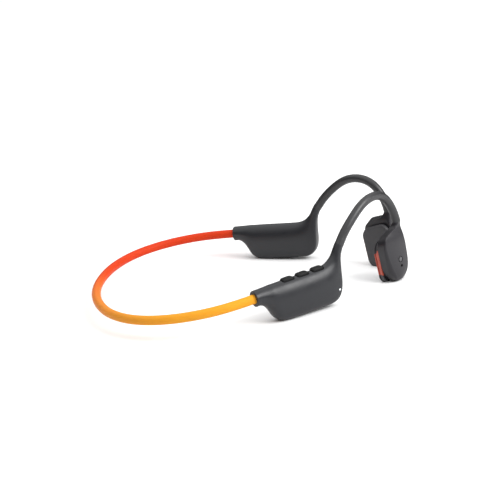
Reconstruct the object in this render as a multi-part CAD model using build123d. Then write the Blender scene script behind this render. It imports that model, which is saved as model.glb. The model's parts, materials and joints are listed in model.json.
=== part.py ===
from build123d import *
import os
import math

# Bone conduction headphones. Units are millimetres.
# The object is laid out in a design frame: X to the wearer's right, Y forward
# (towards the earpieces), Z up, with the neckband's centreline in the plane Z = 0
# and the mouths of the two pods at Y = 0. At export everything is pitched about X
# so that the heels of the pods and the bottoms of the earpieces stand on Z = 0.

os.makedirs("parts", exist_ok=True)

# ---------------------------------------------------------------- driving sizes
PITCH = 4.75             # nose-up pitch of the design frame at rest, degrees
SHIFT_Y = -3.20          # moves the box's middle to Y = 0
SHIFT_Z = 14.30          # lifts the heels to Z = 0

BAND_D = 4.8             # neckband sleeve outside diameter
BAND_R = [104.73, 62.6, 44.08, 49.94, 100.94]          # arc radii, rear middle to pod
BAND_A = [18.949, 19.085, 35.161, 34.223, 7.97034]     # arc angles, degrees
BAND_Y0 = -80.0          # rear middle of the neckband
WIRE_D = 1.2             # titanium wire in the neckband
CABLE_D = 1.1            # cable in the neckband
LUMEN_GAP = 0.05

MOUTH = (62.0, 0.0)      # middle of the right pod's mouth
TOE = 25.388             # pod toe-in, degrees
COLLAR_R = 4.1
BUSH_R = 3.35
BUSH_L = 4.5
SLEEVE_IN = 7.5          # how far the band sleeve goes into the pod

WALL = 1.2               # pod wall
BUTTON_TRAVEL = 0.4
SEAL_S = (15.9, 42.0)    # button seal along the pod
SEAL_W = 2.35            # half width of the seal
BUTTON_S = [(16.75, 23.45), (25.5, 32.2), (34.4, 41.1)]
BUTTON_W = 2.15          # half width of a button
BUTTON_Z = (2.8, 5.15)
BUTTON_GAP = 0.3         # clearance round a button in its pocket

HOOK_R = 2.3
HOOK_WIRE_D = 1.0

EAR_MID = (15.1, 76.6)   # plan position of the earpiece's middle
EAR_YAW = 44.0           # direction of the outer face, degrees from +X
EAR_T = 4.6              # outer face from the middle plane
SPLIT_N = -2.1           # plane between shell and accent ring
RING_N = -3.85           # accent ring's inner plane
PAD_FACE_N = -4.8        # skin contact plane
PAD_N = -4.2             # pad lip's back plane
PAD_TRAVEL = 0.15        # vibration to each side
# outlines in the earpiece's face plane: (across, up, corner radius)
SHELL_OUT = [(-5.4, -21.3, 5.3), (12.0, -21.3, 7.2), (11.2, -4.0, 0), (9.6, 10.2, 0), (4.8, 10.2, 0), (4.6, 8.6, 1.2), (-8.0, 5.4, 5.0)]
PAD_OUT = [(-5.9, -21.1, 5.3), (10.4, -21.1, 7.0), (9.9, -4.0, 0), (8.4, 5.3, 4.5), (-8.1, 1.0, 6.0)]
EAR_WALL = 1.2

# pod section table: s, z of the upper edge, s, z of the lower edge, half width, squareness
FANS = [
    (0.0, 4.10, 0.0, -4.10, 4.10, 2.00),
    (2.8, 4.15, 2.8, -4.20, 4.15, 2.00),
    (5.4, 4.20, 5.2, -5.70, 4.35, 2.05),
    (7.8, 4.25, 7.3, -8.50, 4.75, 2.15),
    (9.8, 4.30, 8.7, -11.2, 5.10, 2.30),
    (12.2, 4.30, 10.3, -13.6, 5.40, 2.45),
    (15.0, 4.30, 13.2, -15.2, 5.60, 2.60),
    (18.5, 4.30, 17.6, -15.85, 5.70, 2.70),
    (23.0, 4.25, 23.0, -16.0, 5.75, 2.70),
    (30.0, 4.15, 30.0, -16.0, 5.70, 2.70),
    (36.5, 4.10, 37.8, -16.0, 5.45, 2.70),
    (40.5, 4.30, 42.7, -15.8, 5.10, 2.65),
    (43.2, 5.00, 46.0, -14.7, 4.70, 2.60),
    (45.2, 6.10, 48.4, -12.4, 4.20, 2.60),
    (46.7, 7.30, 49.9, -8.50, 3.75, 2.55),
    (47.9, 8.60, 50.6, -3.30, 3.30, 2.40),
    (49.0, 10.2, 51.3, 1.80, 2.90, 2.20),
    (50.0, 12.0, 52.5, 6.80, 2.60, 2.05),
    (50.7, 13.8, 54.2, 10.6, 2.40, 2.00),
]

# ear hook centreline in the design frame, right side
HOOK = [(39.51, 47.38, 12.2), (37.54, 50.46, 15.5), (35.73, 53.51, 19.0), (33.0, 57.7, 22.9), (29.7, 62.0, 26.2),
        (25.8, 66.6, 28.3), (21.8, 70.8, 28.7), (18.0, 74.5, 27.7), (14.8, 77.9, 24.9), (12.6, 80.4, 20.6),
        (11.5, 82.1, 15.5), (11.2, 82.9, 10.2)]

# ---------------------------------------------------------------- helpers
TOE_R = math.radians(TOE)
D = Vector(-math.sin(TOE_R), math.cos(TOE_R), 0)     # along the right pod
N = Vector(math.cos(TOE_R), math.sin(TOE_R), 0)      # pod's outward side
C0 = Vector(MOUTH[0], MOUTH[1], 0)
Z = Vector(0, 0, 1)


def pod(s, z, l):
    return C0 + D * s + Z * z + N * l


# frame on the pod: x along the pod, y inward to outward side, z up
POD = Plane(origin=C0, x_dir=D, z_dir=Z)             # local y = Z x D = inward side
YAW_R = math.radians(EAR_YAW)
EN = Vector(math.cos(YAW_R), math.sin(YAW_R), 0)
EW = Vector(-math.sin(YAW_R), math.cos(YAW_R), 0)
EM = Vector(EAR_MID[0], EAR_MID[1], 0)


def ear(w, z, n):
    return EM + EW * w + Z * z + EN * n


def ear_plane(n):
    return Plane(origin=EM + EN * n, x_dir=EW, z_dir=EN)   # local x = w, y = z


def section(fan, grow=0.0, count=20):
    """Closed section wire across the pod, made smaller by -grow."""
    s1, z1, s2, z2, b, e = fan
    cs, cz = (s1 + s2) / 2, (z1 + z2) / 2
    us, uz = (s1 - s2) / 2, (z1 - z2) / 2
    a = math.hypot(us, uz)
    us, uz = us / a, uz / a
    a += grow
    b += grow
    pts = []
    for i in range(count):
        t = 2 * math.pi * i / count
        c, q = math.cos(t), math.sin(t)
        k = a * math.copysign(abs(c) ** (2 / e), c)
        m = b * math.copysign(abs(q) ** (2 / e), q)
        pts.append(pod(cs + us * k, cz + uz * k, m))
    return Wire([Edge.make_spline(pts, periodic=True)])


def side_box(s0, s1, z0, z1, l0, l1):
    """Box in pod coordinates; l is positive outward."""
    b = Box(s1 - s0, l1 - l0, z1 - z0)
    b = Pos((s0 + s1) / 2, -(l0 + l1) / 2, (z0 + z1) / 2) * b
    return POD.location * b


def pod_cyl(s, z, l0, l1, r):
    """Cylinder across the pod from l0 to l1."""
    pl = Plane(origin=pod(s, z, l0), x_dir=D, z_dir=N)
    return extrude(pl * Circle(r), l1 - l0)


def along_cyl(s0, s1, z, r):
    pl = Plane(origin=pod(s0, z, 0), x_dir=N, z_dir=D)
    return extrude(pl * Circle(r), s1 - s0)


def up_cyl(s, l, z0, z1, r):
    pl = Plane(origin=pod(s, z0, l), x_dir=D, z_dir=Z)
    return extrude(pl * Circle(r), z1 - z0)


def one(x):
    """The single solid of a result."""
    ss = x.solids()
    ss = sorted(ss, key=lambda v: -v.volume)
    return ss[0]


# ---------------------------------------------------------------- neckband
def band_path(side, dz):
    """Tangent arcs from the rear middle to the pod mouth, then straight in."""
    p = Vector(0, BAND_Y0, dz)
    h = 0.0
    edges = []
    for r, a in zip(BAND_R, BAND_A):
        e = JernArc(start=p, tangent=(math.cos(math.radians(h)), math.sin(math.radians(h)), 0), radius=r, arc_size=a)
        edges.append(e.edge())
        p = e @ 1
        h += a
    return edges, p


def band_tube(dz, r, tail):
    """Full-length tube of radius r; tail is the straight length inside each pod."""
    half, end = band_path(1, dz)
    out = None
    first = half[0]
    prof = Plane(origin=first @ 0, x_dir=(0, 1, 0), z_dir=(1, 0, 0)) * Circle(r)
    right = sweep(prof, path=Wire(half))
    stub = extrude(Plane(origin=end, x_dir=Z, z_dir=D) * Circle(r), tail)
    right = right + stub
    left = mirror(right, about=Plane.YZ)
    return right + left


sleeve = band_tube(0, BAND_D / 2, SLEEVE_IN)
wire_h = band_tube(-0.85, WIRE_D / 2 + LUMEN_GAP, SLEEVE_IN + 1)
cable_h = band_tube(0.85, CABLE_D / 2 + LUMEN_GAP, SLEEVE_IN + 1)
sleeve = sleeve - wire_h - cable_h
core_wire = band_tube(-0.85, WIRE_D / 2, 13.0)
cable = band_tube(0.85, CABLE_D / 2, 12.0)

nodes = {}
nodes["neckband_sleeve"] = sleeve
nodes["neckband_core_wire"] = core_wire
nodes["neckband_cable"] = cable

# ---------------------------------------------------------------- pods
pod_outer = Solid.make_loft([section(f) for f in FANS], ruled=False)
cav_fans = [f for f in FANS[5:15]]
pod_cavity = Solid.make_loft([section(f, -WALL) for f in cav_fans], ruled=False)
bush_hole = along_cyl(-1, BUSH_L, 0, BUSH_R + 0.02)
sleeve_hole = along_cyl(BUSH_L, SLEEVE_IN + 0.1, 0, BAND_D / 2 + 0.03)
wire_hole = along_cyl(SLEEVE_IN, 14, 0, 1.9)
blank = pod_outer - pod_cavity - bush_hole - sleeve_hole - wire_hole

BIG = 80
outer_half = side_box(-5, 62, -25, 20, 0, 20)
inner_half = side_box(-5, 62, -25, 20, -20, 0)

# heel flat: the plane the object stands on, in the design frame
PR = math.radians(PITCH)
REST_OFF = -SHIFT_Z * 1.0     # distance of the rest plane from the origin along its normal
floor_block = Plane(origin=Vector(0, math.sin(PR), math.cos(PR)) * (REST_OFF - 20), x_dir=(1, 0, 0),
                    z_dir=Vector(0, math.sin(PR), math.cos(PR))).location * Box(300, 300, 40)
blank = blank - floor_block

right_blank = blank
for s0, s1 in BUTTON_S:
    pocket = side_box(s0 - BUTTON_GAP, s1 + BUTTON_GAP, 1.7, 8, -BUTTON_W - BUTTON_GAP, BUTTON_W + BUTTON_GAP)
    right_blank = right_blank - fillet(pocket.edges().filter_by(Axis.Z), 1.2)
# window for the charging insert in the right pod's inner side
CH_S = (19.0, 31.0)
CH_Z = (-10.6, -4.4)
CH_FACE = -5.2
window = side_box(CH_S[0], CH_S[1], CH_Z[0], CH_Z[1], -8, -2)
LED_S, LED_Z = 47.0, -9.2
led_hole = pod_cyl(LED_S, LED_Z, 0.6, 6, 0.55)

right_outer = one((right_blank & outer_half) - led_hole)
right_inner = one((right_blank & inner_half) - window)
left_outer = one(blank & outer_half)
left_inner = one(blank & inner_half)

nodes["right_pod_outer_shell"] = right_outer
nodes["right_pod_inner_shell"] = right_inner
led = pod_cyl(LED_S, LED_Z, 0.6, 6, 0.5) & pod_outer
nodes["led_light_pipe"] = one(led)

insert = side_box(CH_S[0], CH_S[1], CH_Z[0], CH_Z[1], CH_FACE, -3.4)
zc = (CH_Z[0] + CH_Z[1]) / 2
sc = (CH_S[0] + CH_S[1]) / 2
contact_holes = pod_cyl(sc - 1.6, zc, -9, 0, 0.85) + pod_cyl(sc + 1.6, zc, -9, 0, 0.85)
nodes["charging_port_insert"] = insert - contact_holes
nodes["charging_contacts"] = Compound([pod_cyl(sc - 1.6, zc, CH_FACE, -2.6, 0.8).solid(),
                                       pod_cyl(sc + 1.6, zc, CH_FACE, -2.6, 0.8).solid()])
nodes["charging_magnets"] = Compound([side_box(sc - 5.2, sc - 3.2, zc - 1.5, zc + 1.5, -3.4, -2.4).solid(),
                                      side_box(sc + 3.2, sc + 5.2, zc - 1.5, zc + 1.5, -3.4, -2.4).solid()])

# buttons, their seal, switches and boards
names = ["volume_up_button", "volume_down_button", "power_button"]
seal = side_box(SEAL_S[0], SEAL_S[1], 1.7, 2.15, -SEAL_W, SEAL_W)
switches = []
for nm, (s0, s1) in zip(names, BUTTON_S):
    sm = (s0 + s1) / 2
    cap = side_box(s0, s1, BUTTON_Z[0], BUTTON_Z[1], -BUTTON_W, BUTTON_W)
    cap = fillet(cap.edges().filter_by(Axis.Z), 1.0)
    up = [e for e in cap.edges() if e.center().Z > BUTTON_Z[1] - 0.01]
    cap = fillet(up, 0.7)
    stem = up_cyl(sm, 0, 1.98, BUTTON_Z[0] + 0.2, 1.0)
    nodes[nm] = cap + stem
    seal = seal - up_cyl(sm, 0, 1, 3, 1.35)
    sw = side_box(sm - 1.5, sm + 1.5, 0.55, 1.1, -1.4, 1.4)
    dome = up_cyl(sm, 0, 1.1, 1.45, 0.8)
    switches.append((sw + dome).solid())
nodes["button_seal"] = seal
nodes["tact_switches"] = Compound(switches)
nodes["button_board"] = side_box(16.4, 41.2, 0.0, 0.55, -1.9, 1.9)

pcb = side_box(15.5, 42.2, -12.6, -0.4, -1.4, -0.6)
screw_pos = [(17.4, -11.0), (41.0, -3.2)]
for s, z in screw_pos:
    pcb = pcb - pod_cyl(s, z, -3, 1, 0.55)
nodes["main_circuit_board"] = pcb
nodes["bluetooth_module"] = side_box(20, 28, -9.5, -1.5, -0.6, 0.8)
nodes["antenna"] = side_box(32, 41.5, -12.0, -7.0, -0.6, -0.1)
screws = []
for s, z in screw_pos:
    sc_ = pod_cyl(s, z, -3.4, -0.6, 0.5) + pod_cyl(s, z, -0.6, 0.1, 0.95)
    screws.append(sc_.solid())
nodes["board_screws"] = Compound(screws)

# wire anchors hold the ends of the titanium wire inside each pod
anchor = (along_cyl(8.6, 11.6, 0, 1.85) - along_cyl(8, 14, -0.85, WIRE_D / 2 + 0.02)
          - along_cyl(8, 14, 0.85, CABLE_D / 2 + 0.05))

# collar bush
bush = along_cyl(0, BUSH_L, 0, BUSH_R) - along_cyl(-1, BUSH_L + 1, 0, BAND_D / 2 + 0.03)


# ---------------------------------------------------------------- hook
def hook_loft(r, first=0, extra=None):
    pts = [Vector(*p) for p in HOOK]
    secs = []
    n = len(pts)
    for i, p in enumerate(pts):
        t = pts[min(i + 1, n - 1)] - pts[max(i - 1, 0)]
        if i == n - 1:
            t = Vector(0, 0, -1)
        if i == 0:
            a = Vector(*pod(50.7, 13.8, 0))
            b = Vector(*pod(54.2, 10.6, 0))
            t = (a - b).cross(N)
            if t.Z < 0:
                t = t * -1
        secs.append((p, t.normalized()))
    # sections share a stable twist reference: the plan normal of the hook's path
    out = []
    ref = N
    for p, t in secs:
        x = (ref - t * ref.dot(t)).normalized()
        ref = x
        pl = Plane(origin=p, z_dir=t, x_dir=x)
        out.append(Wire([Edge.make_circle(r, pl)]))
    return Solid.make_loft(out, ruled=False)


hook_body = hook_loft(HOOK_R)
hook_bore = hook_loft(HOOK_WIRE_D / 2 + 0.05)
hook_wire_mid = hook_loft(HOOK_WIRE_D / 2)
p0 = Vector(*HOOK[0])
a = Vector(*pod(50.7, 13.8, 0))
b = Vector(*pod(54.2, 10.6, 0))
t0 = (a - b).cross(N)
if t0.Z < 0:
    t0 = t0 * -1
t0 = t0.normalized()
pe = Vector(*HOOK[-1])
low_tail = extrude(Plane(origin=p0, z_dir=t0 * -1) * Circle(HOOK_WIRE_D / 2), 5.0)
top_tail = extrude(Plane(origin=pe, z_dir=(0, 0, -1)) * Circle(HOOK_WIRE_D / 2), 4.0)
hook_wire = hook_wire_mid + low_tail + top_tail
hook = hook_body - hook_bore
tail_hole = extrude(Plane(origin=p0 + t0, z_dir=t0 * -1) * Circle(HOOK_WIRE_D / 2 + 0.05), 6.2)
for nm in ("right_pod_outer_shell", "right_pod_inner_shell"):
    nodes[nm] = one(nodes[nm] - tail_hole)
left_outer = one(left_outer - tail_hole)
left_inner = one(left_inner - tail_hole)


# ---------------------------------------------------------------- earpiece
def ear_outline(table, inset):
    """Rounded outline face in the earpiece's face plane, made smaller by inset."""
    with BuildSketch() as sk:
        with BuildLine():
            Polyline(*[(p[0], p[1]) for p in table], close=True)
        make_face()
        for x, y, r in table:
            if r:
                v = [q for q in sk.vertices() if math.hypot(q.X - x, q.Y - y) < 0.01]
                fillet(v, r)
    f = sk.sketch.face()
    if inset:
        f = offset(f, amount=-inset).face()
    return f


def ear_slab(table, inset, n0, n1):
    return extrude(ear_plane(n0) * ear_outline(table, inset), n1 - n0)


def ear_cyl(w, z, n0, n1, r):
    return extrude(Plane(origin=ear(w, z, n0), x_dir=EW, z_dir=EN) * Circle(r), n1 - n0)


shell = ear_slab(SHELL_OUT, 0, SPLIT_N, EAR_T - 1.0)
shell = shell + ear_slab(SHELL_OUT, 0.35, EAR_T - 1.1, EAR_T - 0.45) + ear_slab(SHELL_OUT, 0.95, EAR_T - 0.5, EAR_T)
shell = shell - ear_slab(SHELL_OUT, EAR_WALL, SPLIT_N - 1, EAR_T - 2.2) - ear_slab(SHELL_OUT, EAR_WALL + 0.9, SPLIT_N, EAR_T - EAR_WALL)
wire_in = extrude(Plane(origin=pe + Z * 0.5, z_dir=(0, 0, -1)) * Circle(HOOK_WIRE_D / 2 + 0.05), 5.0)
shell = shell - wire_in
MIC = (2.7, -9.1)
shell = shell - ear_cyl(MIC[0], MIC[1], 2.5, 6, 1.85)
shell = shell - floor_block
mic_ring = (ear_cyl(MIC[0], MIC[1], 3.4, EAR_T + 0.15, 1.8) - ear_cyl(MIC[0], MIC[1], 3.0, 6, 1.15))
mic_mesh = ear_cyl(MIC[0], MIC[1], 3.7, EAR_T - 0.1, 1.12)
microphone = ear_cyl(MIC[0], MIC[1], 2.6, 3.4, 1.7)
ring = ear_slab(PAD_OUT, 0.3, RING_N, SPLIT_N) - ear_slab(PAD_OUT, 1.8, RING_N - 1, SPLIT_N + 1)
DRV_W, DRV_Z = 1.6, -9.0
pad = ear_slab(PAD_OUT, 0.0, PAD_FACE_N, PAD_N)
edge0 = [e for e in pad.edges() if (e.center() - EM).dot(EN) < PAD_FACE_N + 0.01]
pad = chamfer(edge0, 0.25)
pad = pad + ear_slab(PAD_OUT, 3.0, PAD_N - 0.1, -3.0)
pad = pad - Pos(0, 0, 0.15) * floor_block          # the pad clears the surface the shell stands on
ring = ring - Pos(0, 0, 0.10) * floor_block
coil = ear_cyl(DRV_W, DRV_Z, -3.0, -0.7, 4.3) - ear_cyl(DRV_W, DRV_Z, -4, 2, 3.75)
magnet = ear_cyl(DRV_W, DRV_Z, -2.2, 0.3, 3.3)
yoke = ear_cyl(DRV_W, DRV_Z, -2.2, 1.0, 5.6) - ear_cyl(DRV_W, DRV_Z, -3, 0.3, 4.9)
spring = ear_cyl(DRV_W, DRV_Z, 1.0, 1.25, 6.3) - ear_cyl(DRV_W, DRV_Z, 0, 3, 1.2)
for k in range(3):
    ang = math.radians(120 * k)
    spring = spring - ear_cyl(DRV_W + 3.7 * math.cos(ang), DRV_Z + 3.7 * math.sin(ang), 0, 3, 1.5)
frame_ring = ear_cyl(DRV_W, DRV_Z, -2.05, 1.0, 6.35) - ear_cyl(DRV_W, DRV_Z, -3, 3, 5.65)

# ---------------------------------------------------------------- collect
pairs = {
    "pod_collar_bush": bush,
    "wire_anchor": anchor,
    "ear_hook": hook,
    "hook_wire": hook_wire,
    "earpiece_shell": shell,
    "accent_ring": ring,
    "contact_pad": pad,
    "voice_coil": coil,
    "driver_magnet": magnet,
    "driver_yoke": yoke,
    "driver_spring": spring,
    "driver_frame": frame_ring,
    "mic_ring": mic_ring,
    "mic_mesh": mic_mesh,
    "microphone": microphone,
}
for nm, sh in pairs.items():
    nodes["right_" + nm] = sh
    nodes["left_" + nm] = mirror(sh, about=Plane.YZ)
nodes["left_pod_outer_shell"] = mirror(left_outer, about=Plane.YZ)
nodes["left_pod_inner_shell"] = mirror(left_inner, about=Plane.YZ)
cell = side_box(14.5, 42.0, -12.4, 1.2, -3.0, 3.0)
cell = fillet(cell.edges().filter_by(Axis(origin=(0, 0, 0), direction=tuple(N))), 1.2)
nodes["battery_cell"] = mirror(cell, about=Plane.YZ)
nodes["battery_board"] = mirror(side_box(16, 34, 1.2, 1.8, -1.6, 1.6), about=Plane.YZ)

place = Pos(0, SHIFT_Y, SHIFT_Z) * Rot(PITCH, 0, 0)
allp = []
for nm, sh in nodes.items():
    ss = sh.solids()
    moved = [place * s for s in ss]
    shp = moved[0] if len(moved) == 1 else Compound(moved)
    export_step(shp, "parts/" + nm + ".step")
    allp.append(shp)
    bb = shp.bounding_box()
    print("%-24s solids %d vol %8.1f  z %.2f..%.2f" % (nm, len(ss), sum(s.volume for s in ss), bb.min.Z, bb.max.Z))
bb = Compound(allp).bounding_box()
print("box", bb.min, bb.max, bb.size)
for nm, (s0, s1) in zip(names, BUTTON_S):
    print(nm, "press axis", (0, math.sin(PR), -math.cos(PR)))
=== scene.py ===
import bpy
import bmesh
import json
import math
import numpy as np
from mathutils import Vector, Matrix


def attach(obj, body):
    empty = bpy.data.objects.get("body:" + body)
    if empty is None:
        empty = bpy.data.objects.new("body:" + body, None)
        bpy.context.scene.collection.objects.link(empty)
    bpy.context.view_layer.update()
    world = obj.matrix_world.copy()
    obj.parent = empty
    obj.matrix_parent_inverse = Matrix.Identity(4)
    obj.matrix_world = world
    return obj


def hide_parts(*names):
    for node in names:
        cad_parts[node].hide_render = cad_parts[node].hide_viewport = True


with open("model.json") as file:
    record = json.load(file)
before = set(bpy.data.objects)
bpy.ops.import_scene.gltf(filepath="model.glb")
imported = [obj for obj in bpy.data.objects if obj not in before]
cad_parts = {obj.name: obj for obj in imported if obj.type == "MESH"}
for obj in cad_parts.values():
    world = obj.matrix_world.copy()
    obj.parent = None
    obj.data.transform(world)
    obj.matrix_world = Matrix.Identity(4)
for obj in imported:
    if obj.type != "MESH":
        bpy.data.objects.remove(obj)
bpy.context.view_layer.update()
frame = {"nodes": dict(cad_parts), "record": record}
NODES = frame["nodes"]
ROOT = "headset"

# ------------------------------------------------------------------ frame of the part
# shapes are laid out in the design frame of the CAD model (mm: X wearer's right,
# Y forward, Z up, neckband in the plane Z = 0), then pitched onto the rest plane
PITCH = math.radians(4.75)
SHIFT_Y, SHIFT_Z = -3.20, 14.30
TOE = math.radians(25.388)
D = np.array([-math.sin(TOE), math.cos(TOE), 0.0])
N = np.array([math.cos(TOE), math.sin(TOE), 0.0])
C0 = np.array([62.0, 0.0, 0.0])
UPV = np.array([0.0, 0.0, 1.0])
YAW = math.radians(44.0)
EN = np.array([math.cos(YAW), math.sin(YAW), 0.0])
EW = np.array([-math.sin(YAW), math.cos(YAW), 0.0])
EM = np.array([15.1, 76.6, 0.0])


def place(p):
    p = np.asarray(p, float)
    c, s = math.cos(PITCH), math.sin(PITCH)
    out = np.empty_like(p)
    out[..., 0] = p[..., 0]
    out[..., 1] = p[..., 1] * c - p[..., 2] * s + SHIFT_Y
    out[..., 2] = p[..., 1] * s + p[..., 2] * c + SHIFT_Z
    return out / 1000.0


def turn(v):
    c, s = math.cos(PITCH), math.sin(PITCH)
    return Vector((v[0], v[1] * c - v[2] * s, v[1] * s + v[2] * c))


def pod(s, z, l):
    return C0 + D * s + UPV * z + N * l


def ear(w, z, n):
    return EM + EW * w + UPV * z + EN * n


def unit(v):
    return v / np.linalg.norm(v)


def spline(x, y, q):
    """Natural cubic spline through the rows of y at x, read at q."""
    x = np.asarray(x, float)
    y = np.asarray(y, float)
    n = len(x)
    h = np.diff(x)
    a = np.zeros((n, n))
    r = np.zeros((n,) + y.shape[1:])
    a[0, 0] = a[-1, -1] = 1
    for i in range(1, n - 1):
        a[i, i - 1], a[i, i], a[i, i + 1] = h[i - 1], 2 * (h[i - 1] + h[i]), h[i]
        r[i] = 6 * ((y[i + 1] - y[i]) / h[i] - (y[i] - y[i - 1]) / h[i - 1])
    m = np.linalg.solve(a, r)
    out = []
    for v in np.atleast_1d(q):
        i = int(min(max(np.searchsorted(x, v) - 1, 0), n - 2))
        t0, t1 = x[i + 1] - v, v - x[i]
        out.append((m[i] * t0 ** 3 + m[i + 1] * t1 ** 3) / (6 * h[i])
                   + (y[i] / h[i] - m[i] * h[i] / 6) * t0 + (y[i + 1] / h[i] - m[i + 1] * h[i] / 6) * t1)
    return np.array(out)


def gentle(x, y, q):
    """Shape-keeping cubic (monotone slopes) through the rows of y at x, read at q."""
    x = np.asarray(x, float)
    y = np.asarray(y, float)
    h = np.diff(x)[:, None]
    d = np.diff(y, axis=0) / h
    m = np.zeros_like(y)
    m[0], m[-1] = d[0], d[-1]
    for i in range(1, len(x) - 1):
        a, b = d[i - 1], d[i]
        w1, w2 = 2 * h[i, 0] + h[i - 1, 0], h[i, 0] + 2 * h[i - 1, 0]
        same = a * b > 0
        m[i] = np.where(same, (w1 + w2) / (w1 / np.where(same, a, 1) + w2 / np.where(same, b, 1)), 0)
    out = []
    for v in np.atleast_1d(q):
        i = int(min(max(np.searchsorted(x, v) - 1, 0), len(x) - 2))
        t = (v - x[i]) / h[i, 0]
        h00, h10 = 2 * t ** 3 - 3 * t ** 2 + 1, t ** 3 - 2 * t ** 2 + t
        h01, h11 = -2 * t ** 3 + 3 * t ** 2, t ** 3 - t ** 2
        out.append(h00 * y[i] + h10 * h[i, 0] * m[i] + h01 * y[i + 1] + h11 * h[i, 0] * m[i + 1])
    return np.array(out)


def even(pts, count, closed=False):
    """Points evenly spaced along a polyline."""
    pts = np.asarray(pts, float)
    if closed:
        pts = np.vstack([pts, pts[:1]])
    seg = np.linalg.norm(np.diff(pts, axis=0), axis=1)
    at = np.concatenate([[0], np.cumsum(seg)])
    q = np.linspace(0, at[-1], count + 1)[:-1] if closed else np.linspace(0, at[-1], count)
    return np.stack([np.interp(q, at, pts[:, k]) for k in range(pts.shape[1])], axis=1)


def smooth(t):
    t = np.clip(t, 0, 1)
    return t * t * (3 - 2 * t)


# ------------------------------------------------------------------ mesh building
def build(name, verts, faces, flip=False, low=None, sharp=32, attrs=None):
    """Object from design-frame vertices; flip mirrors it to the left side."""
    v = np.array(verts, float)
    if flip:
        v = v.copy()
        v[:, 0] *= -1
    p = place(v)
    if low is not None:
        p[:, 2] = np.maximum(p[:, 2], low / 1000.0)
    me = bpy.data.meshes.new(name)
    me.from_pydata([tuple(q) for q in p], [], [tuple(int(i) for i in f) for f in faces])
    if attrs:
        for k, vals in attrs.items():
            a = me.attributes.new(k, "FLOAT", "POINT")
            a.data.foreach_set("value", np.asarray(vals, np.float32))
    me.validate()
    bm = bmesh.new()
    bm.from_mesh(me)
    bmesh.ops.remove_doubles(bm, verts=bm.verts, dist=2e-7)
    bmesh.ops.dissolve_degenerate(bm, edges=bm.edges, dist=1e-7)
    bmesh.ops.recalc_face_normals(bm, faces=bm.faces)
    bm.to_mesh(me)
    bm.free()
    ob = bpy.data.objects.new(name, me)
    bpy.context.scene.collection.objects.link(ob)
    polish(ob, sharp)
    return ob


def polish(ob, sharp=32):
    me = ob.data
    me.shade_smooth()
    me.set_sharp_from_angle(angle=math.radians(sharp))


def skin(rings, closed=True, caps=(True, True)):
    """Faces over a stack of equal rings of points."""
    rings = [np.asarray(r, float) for r in rings]
    k = len(rings[0])
    verts = np.vstack(rings)
    faces = []
    for j in range(len(rings) - 1):
        for i in range(k if closed else k - 1):
            a, b = j * k + i, j * k + (i + 1) % k
            faces.append((a, b, b + k, a + k))
    if caps[0]:
        verts = np.vstack([verts, rings[0].mean(0)[None]])
        c = len(verts) - 1
        faces += [((i + 1) % k, i, c) for i in range(k)]
    if caps[1]:
        verts = np.vstack([verts, rings[-1].mean(0)[None]])
        c = len(verts) - 1
        o = (len(rings) - 1) * k
        faces += [(o + i, o + (i + 1) % k, c) for i in range(k)]
    return verts, faces


def torus_skin(rings):
    """A stack of rings whose last ring joins the first."""
    k = len(rings[0])
    m = len(rings)
    verts = np.vstack(rings)
    faces = []
    for j in range(m):
        for i in range(k):
            a, b = j * k + i, j * k + (i + 1) % k
            c, d = ((j + 1) % m) * k + (i + 1) % k, ((j + 1) % m) * k + i
            faces.append((a, b, c, d))
    return verts, faces


def cut(ob, cutters, sharp=32):
    for c in cutters:
        m = ob.modifiers.new("cut", "BOOLEAN")
        m.object = c
        m.operation = "DIFFERENCE"
        m.solver = "EXACT"
    dg = bpy.context.evaluated_depsgraph_get()
    me = bpy.data.meshes.new_from_object(ob.evaluated_get(dg))
    ob.modifiers.clear()
    old = ob.data
    ob.data = me
    bpy.data.meshes.remove(old)
    bm = bmesh.new()
    bm.from_mesh(me)
    bmesh.ops.remove_doubles(bm, verts=bm.verts, dist=4e-7)
    bmesh.ops.dissolve_degenerate(bm, edges=bm.edges, dist=4e-7)
    for _ in range(40):
        flaps = [f for f in bm.faces if any(len(e.link_faces) == 1 for e in f.edges)]
        if not flaps or len(flaps) > 12:
            break
        bmesh.ops.delete(bm, geom=flaps, context="FACES")
    bm.to_mesh(me)
    bm.free()
    for c in cutters:
        bpy.data.objects.remove(c)
    polish(ob, sharp)


def circle(c, x, y, r, k):
    t = np.linspace(0, 2 * math.pi, k, endpoint=False)
    return c + r * (np.cos(t)[:, None] * x + np.sin(t)[:, None] * y)


def lathe(axis_point, x, y, axis, profile, k=64):
    """Closed ring solid: profile is a closed loop of (radius, along the axis)."""
    rings = [circle(axis_point + axis * h, x, y, r, k) for r, h in profile]
    return torus_skin(rings)


def rounded(table, count, inset=0.0):
    """Evenly spaced closed outline of a polygon with rounded corners: rows of (x, y)."""
    n = len(table)
    pts = []
    for i in range(n):
        p = np.array(table[i][:2], float)
        r = table[i][2]
        a = np.array(table[i - 1][:2], float)
        b = np.array(table[(i + 1) % n][:2], float)
        if r <= 0:
            pts.append(p)
            continue
        u, v = unit(a - p), unit(b - p)
        half = math.acos(float(np.clip(np.dot(u, v), -1, 1))) / 2
        t = r / math.tan(half)
        c = p + unit(u + v) * r / math.sin(half)
        s, e = p + u * t - c, p + v * t - c
        a0, a1 = math.atan2(s[1], s[0]), math.atan2(e[1], e[0])
        da = (a1 - a0 + math.pi) % (2 * math.pi) - math.pi
        for q in np.linspace(0, 1, 24):
            w = a0 + da * q
            pts.append(c + r * np.array([math.cos(w), math.sin(w)]))
    out = even(pts, count, closed=True)
    if inset:
        tan = np.roll(out, -1, 0) - np.roll(out, 1, 0)
        nor = np.stack([-tan[:, 1], tan[:, 0]], 1)
        nor /= np.linalg.norm(nor, axis=1)[:, None]
        mid = out.mean(0)
        if ((mid - out) * nor).sum() < 0:
            nor *= -1
        out = out + nor * inset
    return out


# ------------------------------------------------------------------ materials
def links(nt):
    return nt.links.new


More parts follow.
